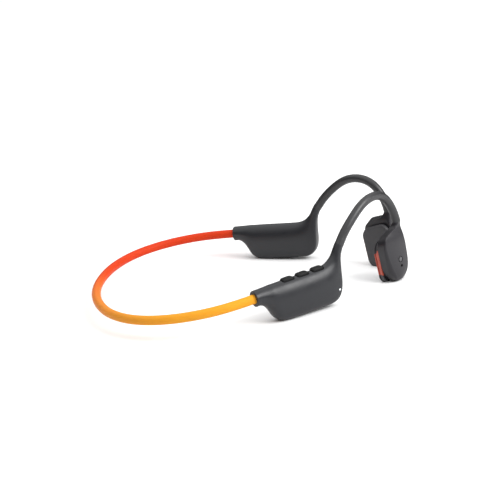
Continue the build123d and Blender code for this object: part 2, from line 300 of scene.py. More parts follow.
def material(name, color, rough, metallic=0.0, grain=9000.0, bump=0.05, vary=0.12, blotch=260.0, rough_var=0.10,
             sheen=0.0, coat=0.0, coat_rough=0.3, specular=0.5, ramp=None, aniso=0.0, extra=None, subsurface=0.0):
    """Procedural surface: mottled colour, uneven gloss and fine grain, all from noise in the part's own space."""
    m = bpy.data.materials.new(name)
    m.use_nodes = True
    nt = m.node_tree
    b = nt.nodes["Principled BSDF"]
    tc = nt.nodes.new("ShaderNodeTexCoord")
    big = nt.nodes.new("ShaderNodeTexNoise")
    big.inputs["Scale"].default_value = blotch
    big.inputs["Detail"].default_value = 5
    big.inputs["Roughness"].default_value = 0.6
    links(nt)(tc.outputs["Object"], big.inputs["Vector"])
    fine = nt.nodes.new("ShaderNodeTexNoise")
    fine.inputs["Scale"].default_value = grain
    fine.inputs["Detail"].default_value = 3
    links(nt)(tc.outputs["Object"], fine.inputs["Vector"])
    # colour
    if ramp is None:
        base = nt.nodes.new("ShaderNodeRGB")
        base.outputs[0].default_value = (*color, 1)
        src = base.outputs[0]
    else:
        src = ramp(nt, tc)
    shade = nt.nodes.new("ShaderNodeMapRange")
    shade.inputs["From Min"].default_value = 0.3
    shade.inputs["From Max"].default_value = 0.7
    shade.inputs["To Min"].default_value = 1 - vary
    shade.inputs["To Max"].default_value = 1 + vary
    links(nt)(big.outputs["Fac"], shade.inputs["Value"])
    speck = nt.nodes.new("ShaderNodeMapRange")
    speck.inputs["From Min"].default_value = 0.3
    speck.inputs["From Max"].default_value = 0.7
    speck.inputs["To Min"].default_value = 1 - vary * 0.5
    speck.inputs["To Max"].default_value = 1 + vary * 0.5
    links(nt)(fine.outputs["Fac"], speck.inputs["Value"])
    mul = nt.nodes.new("ShaderNodeMath")
    mul.operation = "MULTIPLY"
    links(nt)(shade.outputs["Result"], mul.inputs[0])
    links(nt)(speck.outputs["Result"], mul.inputs[1])
    mix = nt.nodes.new("ShaderNodeVectorMath")
    mix.operation = "SCALE"
    links(nt)(src, mix.inputs[0])
    links(nt)(mul.outputs[0], mix.inputs["Scale"])
    links(nt)(mix.outputs[0], b.inputs["Base Color"])
    # gloss
    rr = nt.nodes.new("ShaderNodeMapRange")
    rr.inputs["From Min"].default_value = 0.3
    rr.inputs["From Max"].default_value = 0.7
    rr.inputs["To Min"].default_value = max(0.03, rough - rough_var)
    rr.inputs["To Max"].default_value = min(1.0, rough + rough_var)
    links(nt)(big.outputs["Fac"], rr.inputs["Value"])
    links(nt)(rr.outputs["Result"], b.inputs["Roughness"])
    # grain
    bp = nt.nodes.new("ShaderNodeBump")
    bp.inputs["Strength"].default_value = bump
    bp.inputs["Distance"].default_value = 0.00004
    height = fine.outputs["Fac"]
    if extra is not None:
        height = extra(nt, tc, fine, b, mix)
    links(nt)(height, bp.inputs["Height"])
    links(nt)(bp.outputs["Normal"], b.inputs["Normal"])
    b.inputs["Metallic"].default_value = metallic
    b.inputs["Specular IOR Level"].default_value = specular
    if sheen:
        b.inputs["Sheen Weight"].default_value = sheen
        b.inputs["Sheen Roughness"].default_value = 0.5
    if coat:
        b.inputs["Coat Weight"].default_value = coat
        b.inputs["Coat Roughness"].default_value = coat_rough
    if aniso:
        b.inputs["Anisotropic"].default_value = aniso
    if subsurface:
        b.inputs["Subsurface Weight"].default_value = subsurface
        b.inputs["Subsurface Radius"].default_value = (0.0012, 0.0005, 0.0002)
        b.inputs["Subsurface Scale"].default_value = 1.0
    return m


def lin(r, g, b):
    def f(c):
        c = c / 255
        return c / 12.92 if c <= 0.04045 else ((c + 0.055) / 1.055) ** 2.4
    return (f(r), f(g), f(b))


BAND_STOPS = [(0.0, 232, 72, 26), (0.34, 232, 76, 28), (0.40, 236, 90, 33), (0.44, 242, 112, 42), (0.48, 248, 130, 48),
              (0.52, 249, 144, 54), (0.58, 251, 158, 60), (0.64, 252, 170, 62), (0.72, 250, 178, 52), (0.82, 252, 186, 46), (1.0, 252, 189, 42)]


def band_ramp(nt, tc):
    at = nt.nodes.new("ShaderNodeAttribute")
    at.attribute_name = "run"
    rp = nt.nodes.new("ShaderNodeValToRGB")
    el = rp.color_ramp.elements

    def pigment(s):
        r, g, b = lin(*s[1:])
        return (0.70 * r, 0.58 * g, 0.70 * b, 1)

    el[0].position, el[0].color = BAND_STOPS[0][0], pigment(BAND_STOPS[0])
    el[1].position, el[1].color = 1.0, pigment(BAND_STOPS[-1])
    for s in BAND_STOPS[1:-1]:
        e = el.new(s[0])
        e.color = pigment(s)
    links(nt)(at.outputs["Fac"], rp.inputs["Fac"])
    return rp.outputs["Color"]


def pad_ramp(nt, tc):
    at = nt.nodes.new("ShaderNodeAttribute")
    at.attribute_name = "rim"
    rp = nt.nodes.new("ShaderNodeValToRGB")
    el = rp.color_ramp.elements
    el[0].position, el[0].color = 0.45, (*PAD_DARK, 1)
    el[1].position, el[1].color = 0.55, (*PAD_RED, 1)
    links(nt)(at.outputs["Fac"], rp.inputs["Fac"])
    return rp.outputs["Color"]


PAD_DARK = lin(52, 51, 54)
PAD_RED = lin(172, 72, 55)


def winding(nt, tc, fine, b, mix):
    """Turns of fine wire."""
    w = nt.nodes.new("ShaderNodeTexWave")
    w.bands_direction = "DIAGONAL"
    w.inputs["Scale"].default_value = 1600
    w.inputs["Distortion"].default_value = 0.3
    links(nt)(tc.outputs["Object"], w.inputs["Vector"])
    return w.outputs["Fac"]


def traces(nt, tc, fine, b, mix):
    """Copper tracks under the solder mask."""
    w = nt.nodes.new("ShaderNodeTexVoronoi")
    w.feature = "DISTANCE_TO_EDGE"
    w.distance = "EUCLIDEAN"
    w.inputs["Scale"].default_value = 420
    links(nt)(tc.outputs["Object"], w.inputs["Vector"])
    st = nt.nodes.new("ShaderNodeMapRange")
    st.inputs["From Min"].default_value = 0.02
    st.inputs["From Max"].default_value = 0.06
    links(nt)(w.outputs["Distance"], st.inputs["Value"])
    return st.outputs["Result"]


def weave(nt, tc, fine, b, mix):
    """Woven wire cloth."""
    w1 = nt.nodes.new("ShaderNodeTexWave")
    w1.bands_direction = "X"
    w1.inputs["Scale"].default_value = 1100
    w2 = nt.nodes.new("ShaderNodeTexWave")
    w2.bands_direction = "Z"
    w2.inputs["Scale"].default_value = 1100
    mx = nt.nodes.new("ShaderNodeMath")
    mx.operation = "MAXIMUM"
    links(nt)(tc.outputs["Object"], w1.inputs["Vector"])
    links(nt)(tc.outputs["Object"], w2.inputs["Vector"])
    links(nt)(w1.outputs["Fac"], mx.inputs[0])
    links(nt)(w2.outputs["Fac"], mx.inputs[1])
    return mx.outputs[0]


def crumple(nt, tc, fine, b, mix):
    """Soft creases of a foil pouch."""
    w = nt.nodes.new("ShaderNodeTexNoise")
    w.inputs["Scale"].default_value = 300
    w.inputs["Detail"].default_value = 2
    w.inputs["Distortion"].default_value = 1.5
    links(nt)(tc.outputs["Object"], w.inputs["Vector"])
    return w.outputs["Fac"]


MATS = {
    "band_silicone": material("band_silicone", (1, 0.3, 0.03), 0.52, grain=12000, bump=0.05, vary=0.03, blotch=180, rough_var=0.05, ramp=band_ramp, specular=0.12, subsurface=0.12),
    "pod_plastic": material("pod_plastic", lin(28, 29, 33), 0.38, grain=14000, bump=0.07, vary=0.06, blotch=240, rough_var=0.05, specular=0.42),
    "hook_silicone": material("hook_silicone", lin(33, 33, 35), 0.40, grain=11000, bump=0.08, vary=0.07, blotch=260, rough_var=0.06, specular=0.5),
    "ear_plastic": material("ear_plastic", lin(27, 25, 30), 0.34, grain=14000, bump=0.06, vary=0.05, blotch=240, rough_var=0.05, specular=0.36),
    "accent_red": material("accent_red", PAD_RED, 0.42, grain=12000, bump=0.05, vary=0.07, blotch=300, rough_var=0.06, ramp=pad_ramp),
    "pad_silicone": material("pad_silicone", PAD_DARK, 0.55, grain=9000, bump=0.10, vary=0.07, blotch=260, rough_var=0.06, ramp=pad_ramp, sheen=0.05),
    "button_rubber": material("button_rubber", lin(9, 9, 10), 0.62, grain=9000, bump=0.12, vary=0.12, blotch=420, rough_var=0.08, specular=0.25),
    # bush rubber: dark grey rubber with a warm brown tint painted into its base colour; the tint is a painted
    # reflection of the orange band
    "bush_rubber": material("bush_rubber", lin(52, 43, 40), 0.60, grain=9000, bump=0.12, vary=0.10, blotch=420, rough_var=0.08),
    "titanium": material("titanium", (0.50, 0.49, 0.46), 0.30, metallic=1, grain=6000, bump=0.06, vary=0.08, blotch=700, aniso=0.5),
    "copper": material("copper", (0.70, 0.30, 0.12), 0.32, metallic=1, bump=0.6, vary=0.10, extra=winding),
    "steel": material("steel", (0.55, 0.55, 0.57), 0.30, metallic=1, grain=7000, bump=0.05, vary=0.08, aniso=0.4),
    "gold_contact": material("gold_contact", (0.83, 0.58, 0.22), 0.22, metallic=1, grain=8000, bump=0.04, vary=0.06),
    "magnet_nickel": material("magnet_nickel", (0.62, 0.60, 0.57), 0.20, metallic=1, grain=5000, bump=0.03, vary=0.06),
    "board_green": material("board_green", lin(20, 86, 52), 0.35, grain=9000, bump=0.5, vary=0.16, blotch=500, extra=traces, coat=0.3),
    "cable_jacket": material("cable_jacket", lin(34, 34, 36), 0.5, grain=9000, bump=0.12, vary=0.12),
    "black_plastic": material("black_plastic", lin(30, 30, 32), 0.42, grain=12000, bump=0.08, vary=0.10),
    "mesh_metal": material("mesh_metal", (0.11, 0.11, 0.115), 0.40, metallic=0.7, bump=0.9, vary=0.15, extra=weave),
    "battery_foil": material("battery_foil", (0.60, 0.61, 0.63), 0.32, metallic=0.9, bump=0.5, vary=0.08, extra=crumple),
    "screw_steel": material("screw_steel", (0.40, 0.40, 0.42), 0.32, metallic=1, grain=7000, bump=0.06, vary=0.08),
}
led = material("led_clear", (0.90, 0.93, 0.96), 0.25, grain=6000, bump=0.05, vary=0.03)
led.node_tree.nodes["Principled BSDF"].inputs["Emission Color"].default_value = (0.95, 0.98, 1.0, 1)
led.node_tree.nodes["Principled BSDF"].inputs["Emission Strength"].default_value = 0.8
MATS["led_clear"] = led

# every CAD piece takes its finish from the record's slot
for sub in frame["record"]["subparts"]:
    ob = NODES.get(sub["node"])
    if ob is None:
        continue
    mt = MATS[sub["material_slot"]]
    if not ob.data.materials:
        ob.data.materials.append(mt)
    for i in range(len(ob.data.materials)):
        ob.data.materials[i] = mt


def finishpiece(ob, slot, body, *cad):
    ob.data.materials.clear()
    ob.data.materials.append(MATS[slot])
    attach(ob, body)
    if cad:
        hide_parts(*cad)
    return ob


# ------------------------------------------------------------------ neckband
BAND_R = [104.73, 62.6, 44.08, 49.94, 100.94]
BAND_A = [18.949, 19.085, 35.161, 34.223, 7.97034]
SLEEVE_IN = 7.5


def band_line():
    """Centreline of the right half: rows of (x, y), heading, arc length."""
    p = np.array([0.0, -80.0])
    h = 0.0
    rows = [(p[0], p[1], 0.0, 0.0)]
    run = 0.0
    for r, a in zip(BAND_R, BAND_A):
        n = max(8, int(round(r * math.radians(a) / 0.7)))
        c = p + r * np.array([-math.sin(h), math.cos(h)])
        for i in range(1, n + 1):
            g = h + math.radians(a) * i / n
            q = c + r * np.array([math.sin(g), -math.cos(g)])
            rows.append((q[0], q[1], g, run + r * math.radians(a) * i / n))
        h += math.radians(a)
        run += r * math.radians(a)
        p = np.array(rows[-1][:2])
    n = 11
    for i in range(1, n + 1):
        e = SLEEVE_IN * i / n
        rows.append((p[0] + e * math.cos(h), p[1] + e * math.sin(h), h, run + e))
    return rows, run


rows, half_run = band_line()
right = rows
full = [(-x, y, -h, -s) for x, y, h, s in rows[::-1]] + rows[1:]
K = 56
rings, runs = [], []
total = half_run
for j, (x, y, h, s) in enumerate(full):
    side = np.array([math.sin(h), -math.cos(h), 0.0])      # outward in plan
    c = np.array([x, y, 0.0])
    rings.append(circle(c, side, UPV, 2.4, K))
    runs.append((s + total) / (2 * total))
V, F = skin(rings)
run_attr = np.concatenate([np.repeat(np.clip(runs, 0, 1), K), [max(0, runs[0]), min(1, runs[-1])]])
band = build("neckband_sleeve_skin", V, F, attrs={"run": run_attr})
finishpiece(band, "band_silicone", ROOT, "neckband_sleeve")

# ------------------------------------------------------------------ pods
FANS = np.array([
    (0.0, 4.10, 0.0, -4.10, 4.10, 2.00),
    (2.8, 4.15, 2.8, -4.20, 4.15, 2.00),
    (5.4, 4.20, 5.2, -5.70, 4.35, 2.05),
    (7.8, 4.25, 7.3, -8.50, 4.75, 2.15),
    (9.8, 4.30, 8.7, -11.2, 5.10, 2.30),
    (12.2, 4.30, 10.3, -13.6, 5.40, 2.45),
    (15.0, 4.30, 13.2, -15.2, 5.60, 2.60),
    (18.5, 4.30, 17.6, -15.85, 5.70, 2.70),
    (23.0, 4.25, 23.0, -16.0, 5.75, 2.70),
    (30.0, 4.15, 30.0, -16.0, 5.70, 2.70),
    (36.5, 4.10, 37.8, -16.0, 5.45, 2.70),
    (40.5, 4.30, 42.7, -15.8, 5.10, 2.65),
    (43.2, 5.00, 46.0, -14.7, 4.70, 2.60),
    (45.2, 6.10, 48.4, -12.4, 4.20, 2.60),
    (46.7, 7.30, 49.9, -8.50, 3.75, 2.55),
    (47.9, 8.60, 50.6, -3.30, 3.30, 2.40),
    (49.0, 10.2, 51.3, 1.80, 2.90, 2.20),
    (50.0, 12.0, 52.5, 6.80, 2.60, 2.05),
    (50.7, 13.8, 54.2, 10.6, 2.40, 2.00),
])
# squareness of the lower and front edge of each section: the nose has a flat front facet
LOW_E = np.array([2.0, 2.0, 2.1, 2.3, 2.6, 2.8, 2.9, 3.0, 3.0, 3.0, 3.1, 3.4, 3.9, 4.2, 4.2, 3.8, 3.0, 2.3, 2.0])
mid = (FANS[:, 0:2] + FANS[:, 2:4]) / 2
FU = np.concatenate([[0], np.cumsum(np.linalg.norm(np.diff(FANS[:, 0:4], axis=0), axis=1))])
TABLE = np.hstack([FANS, LOW_E[:, None]])
TABLE[5:16, 5] = np.minimum(TABLE[5:16, 5], 2.22)       # the upper shoulders are rounder than the heel
TABLE[-2, :4] = (50.08, 12.0, 52.55, 6.8)
TABLE[-1, :5] = (51.25, 13.65, 54.4, 10.2, 2.42)         # the nose turns gently, so the hook runs out of it
WALL = 1.2
HALF_K = 64


def fan_at(u):
    return spline(FU, TABLE, [u])[0]


def half_arc(fan, sign, grow=0.0, k=HALF_K):
    """Half section on one side of the pod's middle plane, upper edge first."""
    s1, z1, s2, z2, b, e, el = fan
    cs, cz = (s1 + s2) / 2, (z1 + z2) / 2
    us, uz = (s1 - s2) / 2, (z1 - z2) / 2
    a = math.hypot(us, uz)
    us, uz = us / a, uz / a
    a, b = a + grow, b + grow
    t = np.linspace(0, math.pi, 361)
    c, q = np.cos(t), np.sin(t)
    ee = np.where(c >= 0, e, el)
    kk = a * np.sign(c) * np.abs(c) ** (2 / ee)
    mm = b * np.abs(q) ** (2 / ee)
    p = even(np.stack([kk, mm], 1), k)
    kk, mm = p[:, 0], p[:, 1] * sign
    return C0 + np.outer(cs + us * kk, D) + np.outer(cz + uz * kk, UPV) + np.outer(mm, N)


def round_arc(s, r, sign, k=HALF_K, zc=0.0):
    t = np.linspace(0, math.pi, k)
    return C0 + D * s + np.outer(zc + r * np.cos(t), UPV) + np.outer(sign * r * np.sin(t), N)


def pod_stations():
    us = list(np.linspace(0, 0.6, 9)) + list(np.linspace(0.9, FU[-1], 210))
    return us


TAIL_R = 0.55


def pod_half(name, sign, flip):
    outer, inner = [], []
    u_bush = np.interp(4.5, FANS[:, 0], FU)
    u_sleeve = np.interp(7.6, FANS[:, 0], FU)
    u_cav = FU[5]
    u_cav_end = FU[14]
    us = sorted(pod_stations() + [u_bush, u_bush + 1e-3, u_sleeve, u_sleeve + 1e-3, u_cav, u_cav + 1e-3, u_cav_end, u_cav_end + 1e-3])
    tail_len = FU[-1] - u_cav_end
    for u in us:
        f = fan_at(u)
        lip = 0.45
        g = -0.4 * (1 - math.sqrt(max(0.0, 1 - (1 - min(u, lip) / lip) ** 2)))
        outer.append(half_arc(f, sign, g))
        sm = (f[0] + f[2]) / 2
        if u <= u_bush:
            inner.append(round_arc(sm, 3.37, sign))
        elif u <= u_sleeve:
            inner.append(round_arc(sm, 2.43, sign))
        elif u <= u_cav:
            inner.append(round_arc(sm, 1.9, sign))
        elif u <= u_cav_end:
            inner.append(half_arc(f, sign, -WALL))
        else:
            g2 = f.copy()
            cs, cz = (f[0] + f[2]) / 2, (f[1] + f[3]) / 2
            d = np.array([f[0] - f[2], f[1] - f[3]])
            d = d / np.linalg.norm(d) * TAIL_R
            g2[0], g2[1], g2[2], g2[3] = cs + d[0], cz + d[1], cs - d[0], cz - d[1]
            g2[4], g2[5], g2[6] = TAIL_R, 2, 2
            inner.append(half_arc(g2, sign))
    m = len(us)
    k = HALF_K
    V = np.vstack(outer + inner)
    F = []
    o = m * k
    for j in range(m - 1):
        for i in range(k - 1):
            a = j * k + i
            F.append((a, a + 1, a + 1 + k, a + k))
            F.append((o + a + 1, o + a, o + a + k, o + a + k + 1))
        for i in (0, k - 1):
            a = j * k + i
            F.append((a, a + k, o + a + k, o + a))
    for j in (0, m - 1):
        for i in range(k - 1):
            a = j * k + i
            F.append((a, o + a, o + a + 1, a + 1))
    return build(name, V, F, flip=flip, low=0.0, sharp=40)


def pod_box(name, s0, s1, z0, z1, l0, l1, r, axis="z", flip=False, k=10):
    """Cutter: box in pod coordinates with rounded corners about its axis."""
    if axis == "z":
        tab = [(s0, l0, r), (s1, l0, r), (s1, l1, r), (s0, l1, r)]
        pts = rounded(tab, 96)
        rings = [np.array([pod(p[0], z, p[1]) for p in pts]) for z in (z0, z1)]
    else:
        tab = [(s0, z0, r), (s1, z0, r), (s1, z1, r), (s0, z1, r)]
        pts = rounded(tab, 96)
        rings = [np.array([pod(p[0], p[1], l) for p in pts]) for l in (l0, l1)]
    V, F = skin(rings)
    return build(name, V, F, flip=flip)


def pod_hole(name, s, z, l0, l1, r, k=40):
    rings = [circle(pod(s, z, l), D, UPV, r, k) for l in (l0, l1)]
    V, F = skin(rings)
    return build(name, V, F)


BUTTONS = {"volume_up_button": (16.75, 23.45), "volume_down_button": (25.5, 32.2), "power_button": (34.4, 41.1)}
BW, GAP = 2.15, 0.3


def pocket_cutters(tag):
    out = []
    for nm, (s0, s1) in BUTTONS.items():
        out.append(pod_box("pocket_%s_%s" % (tag, nm), s0 - GAP, s1 + GAP, 1.7, 8.0, -BW - GAP, BW + GAP, 1.25))
    return out


LED_S, LED_Z = 47.0, -9.2
ro = pod_half("right_pod_outer_skin", 1, False)
cut(ro, pocket_cutters("o") + [pod_hole("led_hole", LED_S, LED_Z, 0.6, 7, 0.56)], sharp=40)
finishpiece(ro, "pod_plastic", ROOT, "right_pod_outer_shell")
ri = pod_half("right_pod_inner_skin", -1, False)
cut(ri, pocket_cutters("i") + [pod_box("window", 19.0, 31.0, -10.6, -4.4, -8, -2, 0.8, axis="l")], sharp=40)
finishpiece(ri, "pod_plastic", ROOT, "right_pod_inner_shell")
lo = pod_half("left_pod_outer_skin", 1, True)
finishpiece(lo, "pod_plastic", ROOT, "left_pod_outer_shell")
li = pod_half("left_pod_inner_skin", -1, True)
finishpiece(li, "pod_plastic", ROOT, "left_pod_inner_shell")


def surface_l(s, z):
    """Outward distance of the pod's surface at (s, z)."""
    best = None
    for u in np.linspace(FU[5], FU[-1], 500):
        p = half_arc(fan_at(u), 1, 0.0, 40) - C0
        sv, zv, lv = p @ D, p[:, 2], p @ N
        d = (sv - s) ** 2 + (zv - z) ** 2
        i = int(np.argmin(d))
        if best is None or d[i] < best[0]:
            best = (d[i], lv[i])
    return best[1]


# light pipe: a lens that stands level with the nose's side
L1 = surface_l(LED_S, LED_Z)
prof = [(0.50, 0.6), (0.50, L1 - 0.10), (0.46, L1 + 0.0), (0.34, L1 + 0.07), (0.18, L1 + 0.11)]
rings = [circle(pod(LED_S, LED_Z, h), D, UPV, r, 40) for r, h in prof]
V, F = skin(rings)
ob = build("led_light_pipe_lens", V, F)
finishpiece(ob, "led_clear", ROOT, "led_light_pipe")

# ------------------------------------------------------------------ collar bushes
for side, flip in (("right", False), ("left", True)):
    prof = [(2.42, 0.35), (2.55, 0.16), (2.75, 0.05), (3.05, 0.03), (3.22, 0.08), (3.33, 0.22), (3.35, 0.45), (3.35, 4.45), (3.2, 4.5), (2.6, 4.5), (2.42, 4.4)]
    V, F = lathe(C0, N, UPV, D, prof, 72)
    ob = build(side + "_pod_collar_bush_skin", V, F, flip=flip)
    # the bushes take the bush rubber finish: grey rubber whose warm brown tint is a painted reflection of the orange
    # band
    finishpiece(ob, "bush_rubber", ROOT, side + "_pod_collar_bush")

# ------------------------------------------------------------------ buttons
def button(nm, s0, s1):
    sm, hs = (s0 + s1) / 2, (s1 - s0) / 2
    k = 80

    def ring(z, inset, r, slant=0.0, crown=0.0):
        r = max(r, 0.15)
        tab = [(-hs + inset + slant, -BW + inset, r), (hs - inset - slant, -BW + inset, r),
               (hs - inset - slant, BW - inset, r), (-hs + inset + slant, BW - inset, r)]
        p = rounded(tab, k)
        return p, z, crown

    lvl = [(2.8, 0.06, 1.0, 0.0), (2.86, 0.0, 1.05, 0.0), (4.1, 0.0, 1.05, 0.0), (4.35, 0.02, 1.05, 0.04), (4.6, 0.08, 1.1, 0.14),
           (4.8, 0.19, 1.1, 0.26), (4.95, 0.36, 1.1, 0.38), (5.05, 0.58, 1.05, 0.48), (5.11, 0.85, 0.9, 0.56), (5.14, 1.2, 0.7, 0.6), (5.15, 1.55, 0.45, 0.6)]
    rings = []
    first, _, _ = ring(2.8, 0.06, 1.0)
    ang = np.arctan2(first[:, 1] / BW, first[:, 0] / hs)
    stem = np.stack([np.cos(np.arctan2(first[:, 1], first[:, 0])), np.sin(np.arctan2(first[:, 1], first[:, 0]))], 1)
    for z, r in ((1.98, 0.85), (2.03, 0.97), (2.12, 1.0), (2.8, 1.0)):
        rings.append(np.array([pod(sm + a * r, z, b * r) for a, b in stem]))
    for z, inset, r, sl in lvl:
        p, _, _ = ring(z, inset, r, sl)
        rings.append(np.array([pod(sm + a, z, b) for a, b in p]))
    V, F = skin(rings)
    ob = build(nm + "_cap", V, F, sharp=50)
    finishpiece(ob, "button_rubber", nm, nm)
    return ob


for nm, (s0, s1) in BUTTONS.items():
    button(nm, s0, s1)

# ------------------------------------------------------------------ ear hooks
HOOK = np.array([(39.51, 47.38, 12.2), (37.54, 50.46, 15.5), (35.73, 53.51, 19.0), (33.0, 57.7, 22.9), (29.7, 62.0, 26.2), (25.8, 66.6, 28.3),
                 (21.8, 70.8, 28.7), (18.0, 74.5, 27.7), (14.8, 77.9, 24.9), (12.6, 80.4, 20.6), (11.5, 82.1, 15.5), (11.2, 82.9, 10.2)])
HOOK_R = 2.3
T_END, B_END = pod(51.25, 13.65, 0), pod(54.4, 10.2, 0)
START = (T_END + B_END) / 2
END_A = float(np.linalg.norm(T_END - B_END)) / 2
path = HOOK.copy()
path[0] = START
t0 = np.cross(T_END - B_END, N)
t0 = unit(t0 if t0[2] > 0 else -t0)
pre = START - t0 * 3.0
post = HOOK[-1] + np.array([0, 0, -5.0])
knots = np.vstack([pre, path, post])
hu = np.concatenate([[0], np.cumsum(np.linalg.norm(np.diff(knots, axis=0), axis=1))])
qs = np.linspace(hu[1], hu[-2], 190)
cl = spline(hu, knots, qs)


def hook(side, flip):
    k = 56
    rings = []
    ref = N.copy()
    n = len(cl)
    run = 0.0
    for i in range(n):
        t = cl[min(i + 1, n - 1)] - cl[max(i - 1, 0)]
        if i == 0:
            t = t0
        if i == n - 1:
            t = np.array([0, 0, -1.0])
        t = unit(t)
        x = unit(ref - t * np.dot(ref, t))
        ref = x
        y = np.cross(t, x)
        if i:
            run += np.linalg.norm(cl[i] - cl[i - 1])
        w = math.exp(-run / 4.0)
        a, b = HOOK_R + 0.12 * w, HOOK_R + (END_A - HOOK_R) * w
        left = qs[-1] - qs[i]
        tt = np.linspace(0, 2 * math.pi, k, endpoint=False)
        rings.append(cl[i] + a * np.cos(tt)[:, None] * x + b * np.sin(tt)[:, None] * y)
    last = rings[-1]
    c = cl[-1]
    rings[-1] = c + (last - c) * 0.975
    rings.insert(-1, c + (last - c) + np.array([0, 0, 0.10]))
    V, F = skin(rings)
    ob = build(side + "_ear_hook_skin", V, F, flip=flip)
    finishpiece(ob, "hook_silicone", ROOT, side + "_ear_hook")


# ------------------------------------------------------------------ earpieces
# sections of the shell: (rear inner, front inner, front outer, rear outer) corners as (w, z, n), and each corner's rounding
ECH = HOOK[-1] - EM
WC, NC = float(np.dot(ECH, EW)), float(np.dot(ECH, EN))
SECT = [
    ((WC - 2.3, 10.2, NC - 2.3), (WC + 2.3, 10.2, NC - 2.3), (WC + 2.3, 10.2, NC + 2.3), (WC - 2.3, 10.2, NC + 2.3), (2.3, 2.3, 2.3, 2.3)),
    ((4.75, 9.2, -1.00), (9.5, 9.0, -0.95), (9.55, 9.0, 3.35), (4.75, 9.3, 3.35), (2.1, 2.1, 1.9, 1.5)),
    ((3.6, 7.4, -1.65), (9.45, 7.4, -1.5), (9.55, 7.4, 3.10), (3.7, 8.1, 3.05), (1.3, 1.7, 1.7, 0.8)),
    ((0.9, 6.0, -2.05), (9.3, 5.6, -1.95), (9.7, 5.6, 3.35), (0.5, 7.1, 3.15), (0.7, 1.3, 1.7, 0.45)),
    ((-2.5, 5.0, -2.1), (9.4, 3.6, -2.1), (10.0, 3.4, 3.75), (-2.9, 6.35, 3.25), (0.4, 0.9, 1.8, 0.45)),
    ((-5.3, 3.6, -2.1), (9.6, 1.2, -2.1), (10.3, 0.8, 4.15), (-5.9, 5.2, 3.5), (0.35, 0.7, 2.1, 0.5)),
    ((-7.0, 1.7, -2.1), (9.8, -1.2, -2.1), (10.7, -1.8, 4.25), (-7.7, 3.0, 3.80), (0.35, 0.7, 2.3, 0.9)),
    ((-7.5, -1.2, -2.1), (9.9, -4.0, -2.1), (10.9, -4.6, 4.25), (-8.3, -0.4, 3.85), (0.35, 0.7, 2.4, 1.3)),
    ((-7.2, -5.0, -2.1), (10.1, -7.2, -2.1), (11.1, -7.9, 4.25), (-8.0, -4.6, 3.95), (0.35, 0.7, 2.5, 1.8)),
    ((-6.7, -9.3, -2.1), (10.2, -10.8, -2.1), (11.1, -11.4, 4.25), (-7.2, -9.2, 4.05), (0.35, 0.7, 2.7, 2.3)),
    ((-5.9, -13.3, -2.1), (9.8, -14.3, -2.1), (10.6, -14.7, 4.20), (-6.0, -13.4, 4.10), (0.35, 0.7, 2.8, 2.7)),
    ((-4.5, -16.8, -2.1), (8.5, -17.3, -2.1), (9.1, -17.4, 4.05), (-4.5, -16.9, 4.00), (0.35, 0.7, 2.8, 2.8)),
    ((-2.6, -19.2, -2.1), (6.7, -19.4, -2.1), (7.0, -19.4, 3.55), (-2.6, -19.2, 3.55), (0.4, 0.7, 2.4, 2.4)),
    ((-0.6, -20.5, -1.9), (4.9, -20.6, -1.9), (4.9, -20.6, 2.6), (-0.6, -20.5, 2.6), (0.8, 0.9, 1.8, 1.8)),
    ((1.2, -21.0, -1.2), (3.0, -21.0, -1.2), (3.0, -21.0, 1.2), (1.2, -21.0, 1.2), (0.7, 0.7, 0.9, 0.9)),
]
EDGE_M, CORNER_M = (34, 14, 34, 14), 12


def ear_section(sec, crown):
    q = [np.array(p, float) for p in sec[:4]]
    d = sec[4]
    pts = []
    for i in range(4):
        a, p, b = q[i - 1], q[i], q[(i + 1) % 4]
        u, v = unit(a - p), unit(b - p)
        s, e = p + u * d[i], p + v * d[i]
        kp = 0.5523
        c1, c2 = s - u * d[i] * kp, e - v * d[i] * kp
        for t in np.linspace(0, 1, CORNER_M, endpoint=False):
            pts.append((1 - t) ** 3 * s + 3 * (1 - t) ** 2 * t * c1 + 3 * (1 - t) * t * t * c2 + t ** 3 * e)
        nxt = q[(i + 1) % 4]
        ns = nxt + unit(p - nxt) * d[(i + 1) % 4]
        m = EDGE_M[i]
        for t in np.linspace(0, 1, m, endpoint=False):
            w = e + (ns - e) * t
            if i == 2:
                w = w + np.array([0, 0, crown * (1 - (2 * t - 1) ** 2)])
            pts.append(w)
    return np.array(pts)


